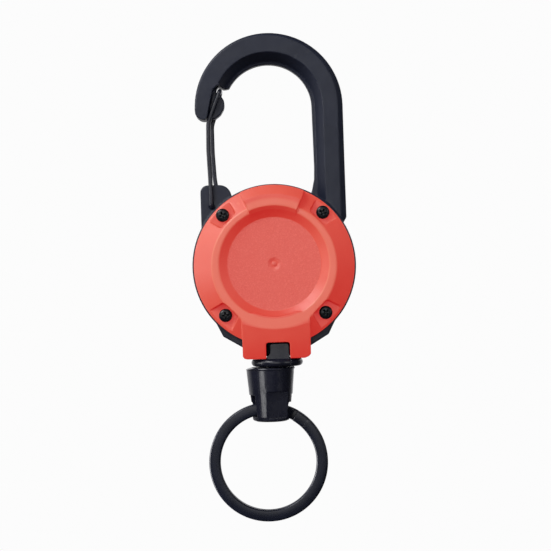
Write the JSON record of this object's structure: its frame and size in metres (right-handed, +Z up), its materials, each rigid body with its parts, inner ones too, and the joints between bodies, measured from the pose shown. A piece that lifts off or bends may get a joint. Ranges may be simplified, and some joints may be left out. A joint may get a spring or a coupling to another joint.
{
  "type": "retractable badge reel",
  "caption": "Retractable reel: a round case with a carabiner and wire gate on top, a sprung spool of cord inside, and a swivel sleeve with a split ring that pulls out below.",
  "frame": {"origin": "on the spool axis, in the plane of the flat back face", "axes": "+Z up the object towards the carabiner as it hangs, +Y out of the back face, the cover faces -Y, +X to the right seen from the front"},
  "size_m": [0.0408, 0.0147, 0.1223],
  "materials": {
    "casing": "moulded black plastic, fine spark-eroded grain, satin",
    "cover": "moulded orange-red plastic, satin, coarse grain in the recessed disc",
    "screws": "black-coated steel, glossy",
    "gate_wire": "black-coated spring wire, satin",
    "connector": "moulded black plastic, semi-gloss",
    "ring": "black-coated flat steel wire, semi-gloss, worn on the edges",
    "steel": "turned steel",
    "spring_steel": "blued strip steel",
    "brass": "turned brass",
    "nylon": "natural moulded plastic, satin",
    "cord": "braided black cord"
  },
  "bodies": {
    "case": {"rear_case": "casing", "front_cover": "cover", "case_screws": "screws", "arbor": "steel", "thrust_washer": "nylon", "top_washer": "nylon", "exit_bushing": "steel", "cord_lead": "cord"},
    "gate": {"wire_gate": "gate_wire"},
    "spool": {"spool": "nylon", "spool_bushing": "brass", "spool_flange": "nylon", "spring_cover": "steel", "power_spring": "spring_steel", "cord_coil": "cord", "cord_anchor": "steel"},
    "connector": {"collar": "connector", "cord_ferrule": "steel", "cord_line": "cord", "cord_end": "cord", "cord_stop": "steel"},
    "sleeve": {"sleeve": "connector", "sleeve_insert": "connector"},
    "ring": {"split_ring": "ring"}
  },
  "joints": [
    {"name": "gate_pivot", "type": "hinge", "parent": "case", "child": "gate", "pos_m": [-0.01524, -0.0056, 0.0148], "axis": [0, 1, 0], "range_deg": [0, 22], "stiffness_Nm_per_rad": 0.05, "springref_deg": -11.46},
    {"name": "cord_pull", "type": "slide", "parent": "case", "child": "connector", "axis": [0, 0, -1], "range_m": [0, 0.6], "stiffness_N_per_m": 1, "springref_m": -1.5, "deforming": ["cord_line"]},
    {"name": "spool_spin", "type": "hinge", "parent": "case", "child": "spool", "pos_m": [0, -0.006, 0], "axis": [0, 1, 0], "range_deg": [0, 3200], "deforming": ["power_spring"]},
    {"name": "sleeve_swivel", "type": "hinge", "parent": "connector", "child": "sleeve", "pos_m": [-0.0018, -0.0066, -0.03], "axis": [0, 0, 1], "continuous": true},
    {"name": "ring_swing", "type": "hinge", "parent": "sleeve", "child": "ring", "pos_m": [-0.0018, -0.0066, -0.0361], "axis": [1, 0, 0], "range_deg": [-70, 70]}
  ],
  "couplings": [
    {"joint": "spool_spin", "follows": "cord_pull", "rad_per_m": 92.8}
  ]
}
